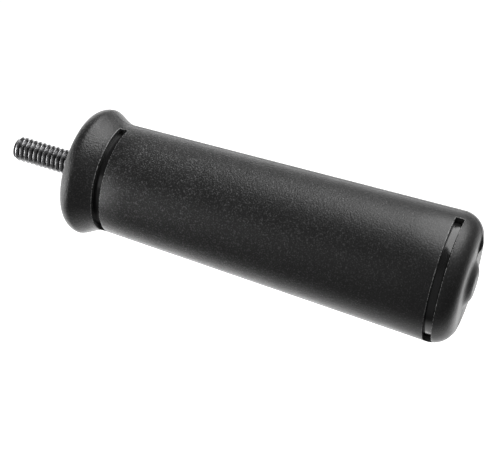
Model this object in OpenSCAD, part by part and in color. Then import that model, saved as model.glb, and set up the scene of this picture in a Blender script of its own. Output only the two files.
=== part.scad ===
// Handle for the side of a spotlight yoke: a steel screw moulded into a rigid core, and a textured
// grip skin moulded over the core in one shot. The skin stays open in four arc windows, where the
// mould's blades hold the core in the middle of the cavity. The whole handle turns with its screw.
//
// The axis is X. The seating face of the collar lies at x = 0, the screw points along -X and the
// grip runs along +X. The windows face -Y and +Y, and the mould parts at the top and the bottom.

/* [Grip] */
// Length of the grip, from the seating face to the flat of the free end
grip_len = 98.9; // [80:0.1:140]
// Outside diameter of the sleeve where the collar's flare ends
neck_d = 27.3; // [24:0.1:30]
// Outside diameter of the sleeve where the free end starts to round over
end_d = 31.6; // [27:0.1:36]
// Radius of the shoulder at the free end
shoulder_r = 5.6; // [3:0.1:8]
// Diameter of the low boss on the end face, at its foot
boss_d = 12; // [10:0.1:16]
// Diameter of the boss's flat top, between its soft flanks
boss_top_d = 6.4; // [3:0.1:8]
// Height of the boss above the end face
boss_h = 1.3; // [0.6:0.1:2]

/* [Collar] */
// Length of the collar, from the seating face to its windows
collar_len = 8.1; // [7:0.1:14]
// Largest diameter of the collar, at its crest
collar_d = 31.9; // [30.5:0.1:40]
// Distance from the seating face to the crest
crest_x = 3; // [2:0.1:3.4]
// Radius of the rounded front that rises from the rim to the crest
front_r = 3.7; // [3.6:0.1:8]
// Radius of the small rim where the front meets the seating face
rim_r = 0.4; // [0.1:0.05:0.8]
// Length of the flare that falls from the crest to the sleeve
flare_len = 6.1; // [4:0.1:9]
// Lean of the flare, which gives a tighter crest and a longer run-out the lower it is
flare_lean = 0.72; // [0.6:0.01:1]

/* [Skin and windows] */
// Thickness of the grip skin over the core
skin_t = 1.3; // [1:0.05:2]
// Thickness of the skin's front wall, behind the seating face
front_wall = 2.6; // [2:0.1:4]
// Width of each arc window, along the grip
window_w = 2.05; // [1.5:0.05:3]
// Angle that each window spans round the grip
window_angle = 144; // [90:1:150]
// Length of solid skin between the far windows and the end face
end_cap_len = 4.3; // [3:0.1:10]

/* [Core] */
// Diameter of the core's nose, which comes through the front wall round the screw
nose_d = 15; // [13:0.1:18]
// Width of the keyways that lock the skin to the core
key_w = 5; // [3:0.1:6]
// Depth of the keyways in the core
key_depth = 1.2; // [0.6:0.1:2]
// Distance from each end of a keyway to the nearest window
key_margin = 8; // [5:0.5:20]

/* [Screw] */
// Major diameter of the thread, a quarter inch with the thread's allowance
thread_d = 6.25; // [6.1:0.05:6.35]
// Diameter of the plain shank inside the core, which a rolled thread leaves thinner than its crests
shank_d = 5.5; // [4.5:0.05:5.8]
// Length of thread that stands out of the seating face
thread_len = 20; // [12:0.5:40]
// Length of the chamfer at the tip of the thread
tip_chamfer = 1; // [0.5:0.1:1.5]
// Length of the plain shank, from the seating face to the head
shank_len = 17; // [10:0.5:30]
// Width of the hexagon head across its flats
head_af = 11.1; // [9:0.1:14]
// Height of the hexagon head
head_h = 4; // [3:0.1:6]
// Slope of the chamfer that turns the head's corners off
head_chamfer = 30; // [20:1:35]

/* [Hidden] */

// Steps in a quarter round, in the flare of the collar and in the flank of the boss
arc_steps = 12;
flare_steps = 16;
flank_steps = 8;
// How far a cutting tool runs past what it cuts
past = 1;

neck_r = neck_d / 2;
end_r = end_d / 2;
collar_r = collar_d / 2;
boss_r = boss_d / 2;
boss_top_r = boss_top_d / 2;
shank_r = shank_d / 2;
// The small rim touches the rounded front from inside, at this angle from the crest
rim_angle = -asin((crest_x - rim_r) / (front_r - rim_r));
rim_centre_r = collar_r - front_r + (front_r - rim_r) * cos(rim_angle);
// The sleeve is one straight taper from the end of the flare to the shoulder
flare_end_x = crest_x + flare_len;
shoulder_x = grip_len - shoulder_r;
taper = (end_r - neck_r) / (shoulder_x - flare_end_x);
taper_angle = atan(taper);
core_end_r = shoulder_r - skin_t;
end_window_x = grip_len - end_cap_len - window_w;
key_x = collar_len + window_w + key_margin;
key_len = end_window_x - key_margin - key_x;
head_across_corners = head_af / cos(30);
$fn = 96;

// Outside radius of the tapered sleeve at a place along the grip
function sleeve_r(x) = neck_r + taper * (x - flare_end_x);

// Points of an arc of radius r round [cx, cr], from one angle to another, as [radius, length] pairs
function arc(cx, cr, r, from, to) =
    [for (i = [0:arc_steps]) let (a = from + (to - from) * i / arc_steps) [cr + r * cos(a), cx + r * sin(a)]];

// The collar falls from its crest to the sleeve in one smooth flare with no corner at either end
function flare() =
    [for (i = [1:flare_steps]) let (t = i / flare_steps, fall = (1 - cos(180 * pow(t, flare_lean))) / 2)
        [collar_r + (neck_r - collar_r) * fall, crest_x + flare_len * t]];

// The boss rises from the end face to its flat top in one soft flank with no corner at either end
function boss_flank() =
    [for (i = [0:flank_steps]) let (t = i / flank_steps)
        [boss_r + (boss_top_r - boss_r) * t, grip_len + boss_h * (1 - cos(180 * t)) / 2]];

// Turns a shape that was made round Z so that it lies along the grip
module along_grip() {
    rotate([0, 90, 0]) children();
}

// The outside of the grip: the collar's rim, front, crest and flare, the taper, the shoulder and the boss
module grip_outside() {
    rotate_extrude()
        polygon(concat(
            [[0, 0]],
            arc(rim_r, rim_centre_r, rim_r, -90, rim_angle),
            arc(crest_x, collar_r - front_r, front_r, rim_angle, 0),
            flare(),
            arc(shoulder_x, end_r - shoulder_r, shoulder_r, 0, 90),
            boss_flank(),
            [[0, grip_len + boss_h]]));
}

// A keyway follows the taper at the top or the bottom of the core, under a bridge of the skin
module keyway() {
    translate([sleeve_r(key_x) - skin_t - key_depth, 0, key_x])
        rotate([0, taper_angle, 0])
            translate([0, -key_w / 2, 0])
                cube([key_depth + past, key_w, key_len]);
}

// The core before the screw is moulded in: nose, front shoulder, taper, round end and two keyways
module core_blank() {
    difference() {
        rotate_extrude()
            polygon(concat(
                [[0, 0],
                 [nose_d / 2, 0],
                 [nose_d / 2, front_wall],
                 [sleeve_r(front_wall) - skin_t, front_wall]],
                arc(shoulder_x, end_r - shoulder_r, core_end_r, 0, 90),
                [[0, grip_len - skin_t]]));
        for (side = [0, 180])
            rotate([0, 0, side]) keyway();
    }
}

// The hexagon head, with its outer corners turned off
module hex_head() {
    corner_r = head_across_corners / 2;
    flat_r = head_af / 2;
    drop = (corner_r - flat_r) * tan(head_chamfer);
    intersection() {
        cylinder(h = head_h, r = corner_r, $fn = 6);
        union() {
            cylinder(h = head_h - drop, r = corner_r + past);
            translate([0, 0, head_h - drop])
                cylinder(h = drop, r1 = corner_r, r2 = flat_r);
        }
    }
}

// The screw: chamfered thread in front of the seating face, plain shank and head behind it
module screw() {
    tip_r = thread_d / 2 - tip_chamfer * tan(head_chamfer);
    translate([0, 0, -thread_len])
        cylinder(h = tip_chamfer, r1 = tip_r, r2 = thread_d / 2);
    translate([0, 0, tip_chamfer - thread_len])
        cylinder(h = thread_len - tip_chamfer, d = thread_d);
    cylinder(h = shank_len, r = shank_r);
    translate([0, 0, shank_len])
        hex_head();
}

// One arc window, cut through the skin down to the core
module window(x, side) {
    rotate([0, 0, side - window_angle / 2])
        rotate_extrude(angle = window_angle)
            translate([sleeve_r(x) - skin_t - past, x])
                square([skin_t + collar_r, window_w]);
}

module threaded_stud() {
    color("silver") along_grip() screw();
}

module rigid_core() {
    color([0.03, 0.03, 0.035]) along_grip()
        difference() {
            core_blank();
            screw();
        }
}

module grip_skin() {
    color([0.13, 0.13, 0.13]) along_grip()
        difference() {
            grip_outside();
            core_blank();
            for (x = [collar_len, end_window_x], side = [-90, 90])
                window(x, side);
        }
}

threaded_stud();
rigid_core();
grip_skin();
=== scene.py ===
import math

import bmesh
import bpy
from mathutils import Matrix, Quaternion, Vector


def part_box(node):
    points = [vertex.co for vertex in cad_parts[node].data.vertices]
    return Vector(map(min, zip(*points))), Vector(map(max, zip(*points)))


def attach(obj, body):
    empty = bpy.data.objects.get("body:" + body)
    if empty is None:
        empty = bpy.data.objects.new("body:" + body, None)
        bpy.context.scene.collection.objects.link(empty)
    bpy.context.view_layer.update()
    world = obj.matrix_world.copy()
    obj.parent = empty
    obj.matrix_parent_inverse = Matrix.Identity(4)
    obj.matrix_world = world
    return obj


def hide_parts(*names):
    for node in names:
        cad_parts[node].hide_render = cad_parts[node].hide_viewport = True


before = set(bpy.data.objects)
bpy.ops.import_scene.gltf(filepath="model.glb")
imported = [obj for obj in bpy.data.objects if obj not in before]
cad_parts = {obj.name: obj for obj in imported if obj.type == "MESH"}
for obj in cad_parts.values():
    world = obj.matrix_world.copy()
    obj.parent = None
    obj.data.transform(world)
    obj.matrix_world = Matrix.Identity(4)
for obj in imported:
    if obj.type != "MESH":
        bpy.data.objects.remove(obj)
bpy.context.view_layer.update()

# Screw
# A quarter-inch steel machine screw with a rolled thread and a bright zinc coat. Its hexagon head and
# its plain shank are moulded into the core, and the thread that stands out fixes the handle.
MM = 0.001
# Points that lie nearer than this count as one
touching = 0.001 * MM
corner_deg = 32
tip_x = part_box("threaded_stud")[0].x
head_end_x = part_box("threaded_stud")[1].x
round_steps = 48
thread_pitch = 1.27 * MM
crest_r = 3.125 * MM
root_r = 2.42 * MM
crest_width = 0.24 * MM
root_width = 0.26 * MM
thread_rounding = 0.045 * MM
tip_chamfer = 1 * MM
chamfer_slope = math.tan(math.radians(30))
runout = 0.6 * MM
shank_r = 2.75 * MM
head_h = 4 * MM
head_flat_r = 11.1 / 2 * MM
head_x = head_end_x - head_h
ALONG = Vector((1, 0, 0))
TO_GRIP = Matrix.Rotation(math.radians(90), 4, "Y")


def line_of_edges(bm, points):
    """Edges from point to point, given as pairs of a place along the grip and a radius, in the XZ plane."""
    verts = [bm.verts.new((x, 0, r)) for x, r in points]
    for pair in zip(verts, verts[1:]):
        bm.edges.new(pair)
    return verts


def round_corners(bm, corners, width, segments):
    """Turns corners of a line into round stretches that start and end this far from the corner."""
    bmesh.ops.bevel(bm, geom=corners, offset=width, offset_type="OFFSET", segments=segments,
                    profile=0.5, affect="VERTICES", material=-1, clamp_overlap=False)


def radius_of(vert):
    return math.hypot(vert.co.y, vert.co.z)


def set_radius(vert, r):
    """Moves a point straight out from the axis to this radius."""
    scale = r / radius_of(vert)
    vert.co.y *= scale
    vert.co.z *= scale


def hexagon_r(vert, flat_r):
    """Distance from the axis to a hexagon's side, in the direction of this point."""
    angle = math.atan2(vert.co.y, vert.co.z) % math.radians(60) - math.radians(30)
    return flat_r / math.cos(angle)


def angle_round(edge):
    """Angle round the axis of an edge's middle."""
    middle_twice = edge.verts[0].co + edge.verts[1].co
    return math.atan2(middle_twice.y, middle_twice.z)


def open_rim(bm, x):
    """The open edges that lie in the plane at this place along the grip."""
    return [e for e in bm.edges if e.is_boundary and all(abs(v.co.x - x) < touching for v in e.verts)]


def push_rim(bm, rim, x):
    """Draws a rim of open edges along the grip to another place, and returns its new points and edges."""
    drawn = bmesh.ops.extrude_edge_only(bm, edges=rim)["geom"]
    verts = [g for g in drawn if isinstance(g, bmesh.types.BMVert)]
    for v in verts:
        v.co.x = x
    return verts, [g for g in drawn if isinstance(g, bmesh.types.BMEdge)]


def make_piece(bm, name, material):
    """Closes a mesh's doubles, turns its faces outwards, marks its true corners and makes it an object."""
    bmesh.ops.remove_doubles(bm, verts=bm.verts[:], dist=touching)
    bmesh.ops.recalc_face_normals(bm, faces=bm.faces[:])
    for face in bm.faces:
        face.smooth = True
    for edge in bm.edges:
        edge.smooth = not edge.is_manifold or edge.calc_face_angle(0) < math.radians(corner_deg)
    mesh = bpy.data.meshes.new(name)
    bm.to_mesh(mesh)
    bm.free()
    mesh.materials.append(material)
    piece = bpy.data.objects.new(name, mesh)
    bpy.context.scene.collection.objects.link(piece)
    return piece


def add_nodes(material, makers):
    """Adds shader nodes by kind, and returns them by the names given."""
    tree = material.node_tree
    return {name: tree.nodes.new(kind) for name, kind in makers.items()}, tree.links


def new_material(name):
    material = bpy.data.materials.new(name)
    material.use_nodes = True
    return material, material.node_tree.nodes["Principled BSDF"]


def plated_steel():
    """Zinc on rolled steel, bright on the crests, with painted shade in the roots and faint rolling marks.
    """
    material, shader = new_material("bright_zinc")
    n, links = add_nodes(material, {"place": "ShaderNodeTexCoord", "flat": "ShaderNodeVectorMath",
                                    "away": "ShaderNodeVectorMath", "depth": "ShaderNodeMapRange",
                                    "map": "ShaderNodeMapping", "marks": "ShaderNodeTexNoise",
                                    "tone": "ShaderNodeValToRGB", "rough": "ShaderNodeMapRange",
                                    "shade": "ShaderNodeMix", "bump": "ShaderNodeBump"})
    shader.inputs["Metallic"].default_value = 1
    n["flat"].operation = "MULTIPLY"
    n["flat"].inputs[1].default_value = (0, 1, 1)
    n["away"].operation = "LENGTH"
    n["depth"].inputs["From Min"].default_value = root_r
    n["depth"].inputs["From Max"].default_value = crest_r - 0.1 * MM
    n["map"].inputs["Scale"].default_value = (1800, 1500, 1500)
    n["marks"].inputs["Scale"].default_value = 2
    n["marks"].inputs["Detail"].default_value = 4
    n["tone"].color_ramp.elements[0].color = (0.28, 0.28, 0.285, 1)
    n["tone"].color_ramp.elements[1].color = (0.72, 0.72, 0.73, 1)
    n["tone"].color_ramp.elements[0].position = 0.3
    n["tone"].color_ramp.elements[1].position = 0.7
    # Painted shade: the thread's roots are darkened, and the crests keep the zinc's own tone
    n["shade"].data_type = "RGBA"
    n["shade"].inputs["A"].default_value = (0.07, 0.07, 0.072, 1)
    n["rough"].inputs["To Min"].default_value = 0.16
    n["rough"].inputs["To Max"].default_value = 0.40
    n["bump"].inputs["Strength"].default_value = 0.8
    n["bump"].inputs["Distance"].default_value = 0.03 * MM
    links.new(n["place"].outputs["Object"], n["map"].inputs["Vector"])
    links.new(n["map"].outputs["Vector"], n["marks"].inputs["Vector"])
    links.new(n["place"].outputs["Object"], n["flat"].inputs[0])
    links.new(n["flat"].outputs["Vector"], n["away"].inputs[0])
    links.new(n["away"].outputs["Value"], n["depth"].inputs["Value"])
    links.new(n["marks"].outputs["Fac"], n["tone"].inputs["Fac"])
    links.new(n["marks"].outputs["Fac"], n["rough"].inputs["Value"])
    links.new(n["marks"].outputs["Fac"], n["bump"].inputs["Height"])
    links.new(n["depth"].outputs["Result"], n["shade"].inputs["Factor"])
    links.new(n["tone"].outputs["Color"], n["shade"].inputs["B"])
    links.new(n["shade"].outputs["Result"], shader.inputs["Base Color"])
    links.new(n["rough"].outputs["Result"], shader.inputs["Roughness"])
    links.new(n["bump"].outputs["Normal"], shader.inputs["Normal"])
    return material


# One tooth of the thread is swept along a right-hand helix, and each turn meets the next
bm = bmesh.new()
tooth_x = tip_x - thread_pitch
tooth = [(0, root_r), (root_width / 2, root_r), (thread_pitch / 2 - crest_width / 2, crest_r),
         (thread_pitch / 2 + crest_width / 2, crest_r), (thread_pitch - root_width / 2, root_r),
         (thread_pitch, root_r)]
verts = line_of_edges(bm, [(tooth_x + x, r) for x, r in tooth])
round_corners(bm, verts[1:-1], thread_rounding, 2)
turns = math.ceil(-tip_x / thread_pitch) + 1
bmesh.ops.spin(bm, geom=bm.verts[:] + bm.edges[:], cent=(0, 0, 0), axis=ALONG,
               dvec=ALONG * (thread_pitch / round_steps), angle=math.tau * turns,
               steps=round_steps * turns, use_merge=False, use_duplicate=False)
bmesh.ops.remove_doubles(bm, verts=bm.verts[:], dist=touching)
for x, away in ((tip_x, -ALONG), (tip_x + tip_chamfer, None), (-runout, ALONG)):
    bmesh.ops.bisect_plane(bm, geom=bm.verts[:] + bm.edges[:] + bm.faces[:], dist=touching,
                           plane_co=(x, 0, 0), plane_no=away or ALONG, clear_outer=away is not None)
for v in bm.verts:
    chamfer_r = crest_r - (tip_x + tip_chamfer - v.co.x) * chamfer_slope
    if radius_of(v) > chamfer_r:
        set_radius(v, chamfer_r)
bmesh.ops.holes_fill(bm, edges=open_rim(bm, tip_x))

# The thread runs out to the plain shank, and the shank ends in the hexagon head. The edges are put in
# order round the axis, so that the thread's end and the shank are bridged alike on every run
bmesh.ops.create_circle(bm, segments=round_steps, radius=shank_r, matrix=TO_GRIP)
bm.edges.sort(key=angle_round)
shank_rim = [e for e in bm.edges if e.is_wire]
bmesh.ops.bridge_loops(bm, edges=open_rim(bm, -runout) + shank_rim)
_, rim = push_rim(bm, shank_rim, head_x)
corners, rim = push_rim(bm, rim, head_x)
for v in corners:
    set_radius(v, hexagon_r(v, head_flat_r))
chamfer, rim = push_rim(bm, rim, head_end_x)
for v in chamfer:
    v.co.x -= (radius_of(v) - head_flat_r) * chamfer_slope
top, rim = push_rim(bm, rim, head_end_x)
for v in top:
    set_radius(v, head_flat_r)
bmesh.ops.holes_fill(bm, edges=rim)
screw = make_piece(bm, "screw", plated_steel())
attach(screw, "root")
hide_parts("threaded_stud")

# Core
# A rigid black plastic core, moulded round the screw first. It is smooth and glossy from the mould,
# and shows in the windows of the skin and as the nose round the screw.
core_end_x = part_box("rigid_core")[1].x
skin_t = 1.3 * MM
front_wall = 2.6 * MM
nose_r = 7.5 * MM
neck_r = 13.65 * MM
end_r = 15.8 * MM
collar_len = 8.1 * MM
flare_end_x = 9.1 * MM
shoulder_r = 5.6 * MM
window_w = 2.05 * MM
end_cap_len = 4.3 * MM
key_half_deg = 11
key_margin = 8 * MM
key_depth = 1.2 * MM
key_draft = 0.05 * MM
core_shoulder_steps = 12
core_steps = 120
grip_end_x = core_end_x + skin_t
shoulder_x = grip_end_x - shoulder_r
end_window_x = grip_end_x - end_cap_len - window_w
key_start_x = collar_len + window_w + key_margin
key_end_x = end_window_x - key_margin


def sleeve_r(x):
    """Outside radius of the tapered sleeve at a place along the grip."""
    return neck_r + (end_r - neck_r) * (x - flare_end_x) / (shoulder_x - flare_end_x)


def middle(face):
    """Place along the grip of a face's middle, and its angle from the front, from 0 to 180 degrees."""
    at = face.calc_center_median()
    return at.x, math.degrees(math.atan2(abs(at.z), -at.y))


def cut_rings(bm, places):
    """Cuts a ring of edges round the piece at each place along the grip."""
    for x in places:
        bmesh.ops.bisect_plane(bm, geom=bm.verts[:] + bm.edges[:] + bm.faces[:],
                               dist=touching, plane_co=(x, 0, 0), plane_no=ALONG)


def gloss_plastic():
    """Smooth black plastic as it leaves a polished mould, with very slight flow marks."""
    material, shader = new_material("gloss_black_plastic")
    n, links = add_nodes(material, {"place": "ShaderNodeTexCoord", "map": "ShaderNodeMapping",
                                    "flow": "ShaderNodeTexNoise", "tone": "ShaderNodeValToRGB",
                                    "rough": "ShaderNodeMapRange", "bump": "ShaderNodeBump"})
    shader.inputs["IOR"].default_value = 1.55
    n["map"].inputs["Scale"].default_value = (900, 300, 300)
    n["flow"].inputs["Scale"].default_value = 1
    n["flow"].inputs["Detail"].default_value = 2
    n["tone"].color_ramp.elements[0].color = (0.011, 0.011, 0.0112, 1)
    n["tone"].color_ramp.elements[1].color = (0.018, 0.018, 0.0182, 1)
    n["rough"].inputs["To Min"].default_value = 0.10
    n["rough"].inputs["To Max"].default_value = 0.20
    n["bump"].inputs["Strength"].default_value = 0.2
    n["bump"].inputs["Distance"].default_value = 0.02 * MM
    links.new(n["place"].outputs["Object"], n["map"].inputs["Vector"])
    links.new(n["map"].outputs["Vector"], n["flow"].inputs["Vector"])
    links.new(n["flow"].outputs["Fac"], n["tone"].inputs["Fac"])
    links.new(n["flow"].outputs["Fac"], n["rough"].inputs["Value"])
    links.new(n["flow"].outputs["Fac"], n["bump"].inputs["Height"])
    links.new(n["tone"].outputs["Color"], shader.inputs["Base Color"])
    links.new(n["rough"].outputs["Result"], shader.inputs["Roughness"])
    links.new(n["bump"].outputs["Normal"], shader.inputs["Normal"])
    return material


bm = bmesh.new()
head_corner_r = head_flat_r / math.cos(math.radians(30))
outline = [(head_end_x, 0), (head_end_x, head_corner_r), (head_x, head_corner_r), (head_x, shank_r),
           (0, shank_r), (0, nose_r), (front_wall, nose_r), (front_wall, sleeve_r(front_wall) - skin_t),
           (core_end_x, sleeve_r(shoulder_x) - skin_t), (core_end_x, 0)]
verts = line_of_edges(bm, outline)
round_corners(bm, verts[-2:-1], shoulder_r - skin_t, core_shoulder_steps)
bmesh.ops.spin(bm, geom=bm.verts[:] + bm.edges[:], cent=(0, 0, 0), axis=ALONG, angle=math.tau,
               steps=core_steps, use_merge=True, use_duplicate=False)
bmesh.ops.remove_doubles(bm, verts=bm.verts[:], dist=touching)
for v in bm.verts:
    if abs(radius_of(v) - head_corner_r) < touching and v.co.x > head_x - touching:
        set_radius(v, hexagon_r(v, head_flat_r))
cut_rings(bm, (key_start_x, key_end_x))
keyways = [f for f in bm.faces
           if key_start_x < middle(f)[0] < key_end_x and abs(middle(f)[1] - 90) < key_half_deg]
bmesh.ops.inset_region(bm, faces=keyways, use_boundary=True, use_even_offset=True,
                       thickness=key_draft, depth=-key_depth)
core = make_piece(bm, "core", gloss_plastic())
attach(core, "root")
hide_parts("rigid_core")

# Skin
# The textured skin of dull black plastic, moulded over the core in one shot: collar, sleeve and round
# free end. The blades that hold the core in the mould leave four arc windows, and the mould's two
# halves leave a parting line along the top and the bottom.
collar_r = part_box("grip_skin")[1].z
boss_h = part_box("grip_skin")[1].x - grip_end_x
boss_r = 6.0 * MM
boss_top_r = 3.2 * MM
end_face_step = 0.6 * MM
crest_x = 3.0 * MM
front_r = 3.7 * MM
rim_r = 0.4 * MM
flare_lean = 0.72
window_half_deg = 72
window_edge_bevel = 0.18 * MM
parting_width = 0.09 * MM
parting_height = 0.05 * MM
flash_height = 0.65 * MM
flash_top_z = 12.4 * MM
flash_low_z = 7 * MM
flash_lean = 1.36
flash_sharpness = 1.4
skin_steps = 240
rim_steps = 4
front_steps = 10
flare_steps = 20
shoulder_steps = 18
flank_steps = 10
sleeve_spans = 10
rim_angle = -math.asin((crest_x - rim_r) / (front_r - rim_r))
rim_centre_r = collar_r - front_r + (front_r - rim_r) * math.cos(rim_angle)


def textured_plastic():
    """Dull black plastic with the pebbled grain of an etched mould, lighter specks that are partly painted
    glints, and a painted highlight on the window edges.
    """
    material, shader = new_material("pebbled_black_plastic")
    n, links = add_nodes(material, {"place": "ShaderNodeTexCoord", "map": "ShaderNodeMapping",
                                    "pebbles": "ShaderNodeTexVoronoi", "specks": "ShaderNodeTexNoise",
                                    "cloud": "ShaderNodeTexNoise", "rough": "ShaderNodeMapRange",
                                    "pebble_bump": "ShaderNodeBump", "speck_bump": "ShaderNodeBump",
                                    "axes": "ShaderNodeSeparateXYZ", "along": "ShaderNodeMapRange",
                                    "flatter": "ShaderNodeMapRange", "speck_and_glint_fading": "ShaderNodeValToRGB",
                                    "tone": "ShaderNodeValToRGB", "grain_and_glints": "ShaderNodeMix",
                                    "edge": "ShaderNodeAttribute", "raised": "ShaderNodeMapRange",
                                    "edge_highlight_mask": "ShaderNodeMath", "painted_edge_highlight": "ShaderNodeMix"})
    shader.inputs["IOR"].default_value = 1.55

    # Pebbles and finer specks on them, both as bump, with slightly uneven gloss
    n["map"].inputs["Scale"].default_value = (1000, 1000, 1000)
    n["pebbles"].feature = "SMOOTH_F1"
    n["pebbles"].inputs["Scale"].default_value = 2.6
    n["pebbles"].inputs["Smoothness"].default_value = 0.6
    n["specks"].inputs["Scale"].default_value = 3
    n["specks"].inputs["Detail"].default_value = 2
    n["specks"].inputs["Distortion"].default_value = 0.4
    n["cloud"].inputs["Scale"].default_value = 0.25
    n["cloud"].inputs["Detail"].default_value = 3
    n["rough"].inputs["To Min"].default_value = 0.36
    n["rough"].inputs["To Max"].default_value = 0.50
    n["pebble_bump"].invert = True
    n["pebble_bump"].inputs["Distance"].default_value = 0.07 * MM
    n["speck_bump"].inputs["Strength"].default_value = 0.5
    n["speck_bump"].inputs["Distance"].default_value = 0.03 * MM
    links.new(n["place"].outputs["Object"], n["map"].inputs["Vector"])
    for pattern in ("pebbles", "specks", "cloud"):
        links.new(n["map"].outputs["Vector"], n[pattern].inputs["Vector"])
    links.new(n["pebbles"].outputs["Distance"], n["pebble_bump"].inputs["Height"])
    links.new(n["specks"].outputs["Fac"], n["speck_bump"].inputs["Height"])
    links.new(n["pebble_bump"].outputs["Normal"], n["speck_bump"].inputs["Normal"])
    links.new(n["cloud"].outputs["Fac"], n["rough"].inputs["Value"])
    links.new(n["speck_bump"].outputs["Normal"], shader.inputs["Normal"])
    links.new(n["rough"].outputs["Result"], shader.inputs["Roughness"])

    # The pebbles get flatter towards the free end. The specks' lighter colour is partly the grain's own
    # tone and partly painted glints. They are lightest next to the collar, and fade on it and towards the
    # free end, by stops that take the place of the ramp's own two
    n["along"].inputs["From Max"].default_value = grip_end_x
    n["flatter"].inputs["From Min"].default_value = 0.1
    n["flatter"].inputs["From Max"].default_value = 0.9
    n["flatter"].inputs["To Min"].default_value = 1
    n["flatter"].inputs["To Max"].default_value = 0.4
    stops = n["speck_and_glint_fading"].color_ramp.elements
    for position, strength in ((0.082, 0.5), (0.105, 1), (0.4, 0.8), (0.9, 0.35), (0.96, 0.25)):
        stops.new(position).color = (strength, strength, strength, 1)
    stops.remove(stops[0])
    stops.remove(stops[-1])
    # The light stop is the specks' own lighter tone together with painted glints
    dark, light = n["tone"].color_ramp.elements
    dark.color = (0.011, 0.011, 0.0111, 1)
    light.color = (0.16, 0.16, 0.161, 1)
    light.position = 0.74
    dark.position = 0.52
    n["grain_and_glints"].data_type = "RGBA"
    n["grain_and_glints"].inputs["A"].default_value = dark.color
    links.new(n["place"].outputs["Object"], n["axes"].inputs["Vector"])
    links.new(n["axes"].outputs["X"], n["along"].inputs["Value"])
    links.new(n["along"].outputs["Result"], n["flatter"].inputs["Value"])
    links.new(n["along"].outputs["Result"], n["speck_and_glint_fading"].inputs["Fac"])
    links.new(n["flatter"].outputs["Result"], n["pebble_bump"].inputs["Strength"])
    links.new(n["specks"].outputs["Fac"], n["tone"].inputs["Fac"])
    links.new(n["speck_and_glint_fading"].outputs["Color"], n["grain_and_glints"].inputs["Factor"])
    links.new(n["tone"].outputs["Color"], n["grain_and_glints"].inputs["B"])

    # The window edges get a painted highlight, grey where the specks stand up
    n["edge"].attribute_name = "painted_edge_highlight"
    n["raised"].inputs["From Min"].default_value = 0.4
    n["raised"].inputs["From Max"].default_value = 0.58
    n["edge_highlight_mask"].operation = "MULTIPLY"
    n["painted_edge_highlight"].data_type = "RGBA"
    n["painted_edge_highlight"].inputs["B"].default_value = (0.55, 0.55, 0.55, 1)
    links.new(n["specks"].outputs["Fac"], n["raised"].inputs["Value"])
    links.new(n["raised"].outputs["Result"], n["edge_highlight_mask"].inputs[0])
    links.new(n["edge"].outputs["Fac"], n["edge_highlight_mask"].inputs[1])
    links.new(n["edge_highlight_mask"].outputs["Value"], n["painted_edge_highlight"].inputs["Factor"])
    links.new(n["grain_and_glints"].outputs["Result"], n["painted_edge_highlight"].inputs["A"])
    links.new(n["painted_edge_highlight"].outputs["Result"], shader.inputs["Base Color"])
    return material


def arc(centre_x, centre_r, r, start, end, steps):
    """Points of an arc, from one angle to another, counted from straight out towards the grip's end."""
    angles = [start + (end - start) * i / steps for i in range(steps + 1)]
    return [(centre_x + r * math.sin(a), centre_r + r * math.cos(a)) for a in angles]


def flare_point(step):
    """The collar falls from its crest to the sleeve in one smooth flare."""
    t = step / flare_steps
    fall = (1 - math.cos(math.pi * t ** flare_lean)) / 2
    return crest_x + (flare_end_x - crest_x) * t, collar_r + (neck_r - collar_r) * fall


def on_outside(vert):
    """Whether a point lies on the skin's outer wall, between the collar's crest and the boss."""
    past_shoulder = max(0, vert.co.x - shoulder_x)
    depth = sleeve_r(min(vert.co.x, shoulder_x)) - shoulder_r
    return (crest_x - touching < vert.co.x < grip_end_x + touching and radius_of(vert) > boss_r
            and math.hypot(past_shoulder, radius_of(vert) - depth) > shoulder_r - skin_t / 2)


def flank_point(step):
    """The low boss rises from the end face to its flat top in one soft flank."""
    t = step / flank_steps
    rise = (t + (1 - math.cos(math.pi * t)) / 2) / 2
    return grip_end_x + boss_h * rise, boss_r + (boss_top_r - boss_r) * t


bm = bmesh.new()
outside = [(0, nose_r)] + arc(rim_r, rim_centre_r, rim_r, math.radians(-90), rim_angle, rim_steps)
outside += arc(crest_x, collar_r - front_r, front_r, rim_angle, 0, front_steps)[1:]
outside += [flare_point(i) for i in range(1, flare_steps + 1)]
outside += arc(shoulder_x, end_r - shoulder_r, shoulder_r, 0, math.radians(90), shoulder_steps)
outside += [(grip_end_x, boss_r + end_face_step * i) for i in (6, 5, 4, 3, 2)]
outside += [flank_point(i) for i in range(flank_steps + 1)] + [(grip_end_x + boss_h, 0)]
line_of_edges(bm, outside)
inside = [(0, nose_r), (front_wall, nose_r), (front_wall, sleeve_r(front_wall) - skin_t)]
inside += arc(shoulder_x, end_r - shoulder_r, shoulder_r - skin_t, 0, math.radians(90), core_shoulder_steps)
line_of_edges(bm, inside + [(core_end_x, 0)])
bmesh.ops.spin(bm, geom=bm.verts[:] + bm.edges[:], cent=(0, 0, 0), axis=ALONG, angle=math.tau,
               steps=skin_steps, use_merge=True, use_duplicate=False)
bmesh.ops.remove_doubles(bm, verts=bm.verts[:], dist=touching)
bmesh.ops.recalc_face_normals(bm, faces=bm.faces[:])

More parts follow.
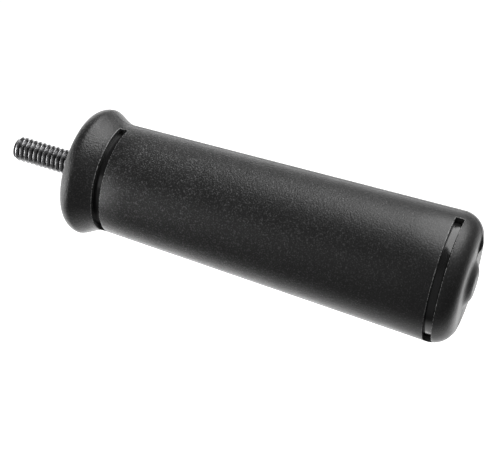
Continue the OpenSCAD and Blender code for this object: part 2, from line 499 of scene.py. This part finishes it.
# Each window is cut through both walls, its four sides are bridged from wall to wall, and its outer
# edges are rounded and marked for a painted highlight
painted_edge_highlight = bm.verts.layers.float.new("painted_edge_highlight")
sleeve_rings = [collar_len + (end_window_x - collar_len) * i / sleeve_spans for i in range(1, sleeve_spans)]
window_starts = (collar_len, end_window_x)
cut_rings(bm, [x + w for x in window_starts for w in (0, window_w)] + sleeve_rings)
for start in window_starts:
    for front in (True, False):
        panel = [f for f in bm.faces if start < middle(f)[0] < start + window_w
                 and (middle(f)[1] if front else 180 - middle(f)[1]) < window_half_deg]
        bmesh.ops.delete(bm, geom=panel, context="FACES")
        sides = bmesh.ops.bridge_loops(bm, edges=[e for e in bm.edges if e.is_boundary])["faces"]
        outer_edges = [e for e in {e for f in sides for e in f.edges}
                       if sum(f in sides for f in e.link_faces) == 1
                       and min(radius_of(v) for v in e.verts) > sleeve_r(start) - skin_t / 2]
        rounded = bmesh.ops.bevel(bm, geom=outer_edges, offset=window_edge_bevel, offset_type="OFFSET",
                                  segments=2, profile=0.5, affect="EDGES", material=-1, clamp_overlap=True)
        # The points of the rounded edges carry the painted edge highlight
        for v in rounded["verts"]:
            v[painted_edge_highlight] = float(all(f in rounded["faces"] for f in v.link_faces))

# The mould's two halves leave a fine raised line where they meet. It swells to a nick of flash at the
# top of the end face, and stays inside the collar's radius
parting = [e for e in bm.edges if all(abs(v.co.y) < touching and on_outside(v) for v in e.verts)]
ridge = bmesh.ops.bevel(bm, geom=parting, offset=parting_width, offset_type="OFFSET", segments=2,
                        profile=0.5, affect="EDGES", material=-1, clamp_overlap=True)
bm.normal_update()
crown = [v for v in ridge["verts"] if abs(v.co.y) < touching and crest_x < v.co.x]
for v in crown:
    over = (flash_top_z - v.co.z) / (flash_top_z - flash_low_z) if v.co.x > shoulder_x else 0
    swell = math.sin(math.pi * min(1, max(0, over)) ** flash_lean) ** flash_sharpness
    v.co += v.normal * (parting_height + (flash_height - parting_height) * swell)
    if radius_of(v) > collar_r:
        set_radius(v, collar_r)
bmesh.ops.dissolve_degenerate(bm, dist=touching, edges=bm.edges[:])
skin = make_piece(bm, "skin", textured_plastic())
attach(skin, "root")
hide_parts("grip_skin")

# Studio
# A plain white floor well below the handle, which hangs in the air as it does on its lamp. The world is
# a white backdrop and table with a wall at each side, and dim on the camera's side. A round softbox
# hangs overhead, a smaller lamp stands at the left, and a weak one in front.
camera_place = Vector((0.12866, -0.29206, 0.07028))
camera_aim = Vector((0.04447, 0, -0.00186))
camera_roll = math.radians(12.99)
camera_lens = 93.02
camera_sensor = 36
camera_near = 0.01
floor_z = -0.1
floor_size = 40
floor_glow = 0.9
room_level = 0.08
backdrop_glow = 1.0
# Each zone's middle as a direction, its half angles where it has faded out and where it is full, its level
light_zones = {"backdrop": ((-0.5, 0.85, -0.17), 55, 22, 1.25),
               "table": ((0.05, 0.64, -0.77), 50, 20, 1.0),
               "left_wall": ((-0.93, 0, -0.35), 36, 22, 1.5),
               "right_wall": ((0.5, 0.84, -0.2), 24, 10, 1.2),
               "fill": ((0.1, -0.9, -0.42), 60, 20, 0.16)}
# The point each lamp aims at, its direction and distance from there, its diameter and its power
lamps = {"softbox": ((0.01, 0, 0), (0.33, -0.01, 0.94), 0.60, 0.70, 4.9),
         "left_lamp": ((0, 0, 0), (-0.86, -0.42, -0.28), 0.35, 0.28, 0.85),
         "front_light": ((0.02, 0, 0), (-0.38, -0.91, -0.12), 0.45, 0.20, 0.05)}

bm = bmesh.new()
bmesh.ops.create_grid(bm, x_segments=1, y_segments=1, size=floor_size / 2,
                      matrix=Matrix.Translation((0, 0, floor_z)))
floor_material, floor_shader = new_material("white_floor")
floor_shader.inputs["Base Color"].default_value = (0.8, 0.8, 0.8, 1)
floor_shader.inputs["Roughness"].default_value = 0.9
n, links = add_nodes(floor_material, {"glow": "ShaderNodeEmission", "sum": "ShaderNodeAddShader"})
n["glow"].inputs["Strength"].default_value = floor_glow
links.new(floor_shader.outputs["BSDF"], n["sum"].inputs[0])
links.new(n["glow"].outputs["Emission"], n["sum"].inputs[1])
floor_output = floor_material.node_tree.nodes["Material Output"]
links.new(n["sum"].outputs["Shader"], floor_output.inputs["Surface"])
floor = make_piece(bm, "floor", floor_material)
floor.visible_glossy = False
floor.visible_diffuse = False

world = bpy.data.worlds.new("surround")
bpy.context.scene.world = world
world.use_nodes = True
background = world.node_tree.nodes["Background"]
background.inputs["Color"].default_value = (1, 1, 1, 1)
n, links = add_nodes(world, {"place": "ShaderNodeTexCoord", "path": "ShaderNodeLightPath",
                             "mirrored": "ShaderNodeMath", "backdrop_seen": "ShaderNodeMath",
                             "glow": "ShaderNodeMath", "seen": "ShaderNodeMath"})
n["mirrored"].operation = "ADD"
n["backdrop_seen"].operation = "MULTIPLY"
n["glow"].operation = "MULTIPLY_ADD"
n["glow"].inputs[1].default_value = backdrop_glow
n["seen"].operation = "MAXIMUM"
lit = None
for centre, outer_deg, inner_deg, level in light_zones.values():
    z, _ = add_nodes(world, {"turn": "ShaderNodeVectorMath", "fade": "ShaderNodeMapRange",
                             "sum": "ShaderNodeMath"})
    z["turn"].operation = "DOT_PRODUCT"
    z["turn"].inputs[1].default_value = Vector(centre).normalized()
    z["fade"].interpolation_type = "SMOOTHSTEP"
    z["fade"].inputs["From Min"].default_value = math.cos(math.radians(outer_deg))
    z["fade"].inputs["From Max"].default_value = math.cos(math.radians(inner_deg))
    z["sum"].operation = "MULTIPLY_ADD"
    z["sum"].inputs[1].default_value = level
    z["sum"].inputs[2].default_value = room_level
    links.new(n["place"].outputs["Generated"], z["turn"].inputs[0])
    links.new(z["turn"].outputs["Value"], z["fade"].inputs["Value"])
    links.new(z["fade"].outputs["Result"], z["sum"].inputs[0])
    if lit:
        links.new(lit.outputs["Value"], z["sum"].inputs[2])
    else:
        links.new(z["fade"].outputs["Result"], n["backdrop_seen"].inputs[0])
    lit = z["sum"]

# The camera sees plain white, and mirrored and transmitted rays see the backdrop brighter
links.new(n["path"].outputs["Is Glossy Ray"], n["mirrored"].inputs[0])
links.new(n["path"].outputs["Is Transmission Ray"], n["mirrored"].inputs[1])
links.new(n["mirrored"].outputs["Value"], n["backdrop_seen"].inputs[1])
links.new(n["backdrop_seen"].outputs["Value"], n["glow"].inputs[0])
links.new(lit.outputs["Value"], n["glow"].inputs[2])
links.new(n["glow"].outputs["Value"], n["seen"].inputs[0])
links.new(n["path"].outputs["Is Camera Ray"], n["seen"].inputs[1])
links.new(n["seen"].outputs["Value"], background.inputs["Strength"])

for name, (aim, turn, away, size, power) in lamps.items():
    lamp_data = bpy.data.lights.new(name, "AREA")
    lamp_data.shape = "DISK"
    lamp_data.size = size
    lamp_data.energy = power
    lamp = bpy.data.objects.new(name, lamp_data)
    bpy.context.scene.collection.objects.link(lamp)
    lamp.location = Vector(aim) + Vector(turn).normalized() * away
    lamp.rotation_mode = "QUATERNION"
    lamp.rotation_quaternion = Vector(turn).to_track_quat("Z", "Y")

camera_data = bpy.data.cameras.new("camera")
camera_data.lens = camera_lens
camera_data.sensor_width = camera_sensor
camera_data.clip_start = camera_near
camera = bpy.data.objects.new("camera", camera_data)
bpy.context.scene.collection.objects.link(camera)
camera.location = camera_place
camera.rotation_mode = "QUATERNION"
upright = (camera_aim - camera_place).to_track_quat("-Z", "Y")
camera.rotation_quaternion = upright @ Quaternion((0, 0, 1), camera_roll)
bpy.context.scene.camera = camera
bpy.context.scene.view_settings.view_transform = "Standard"
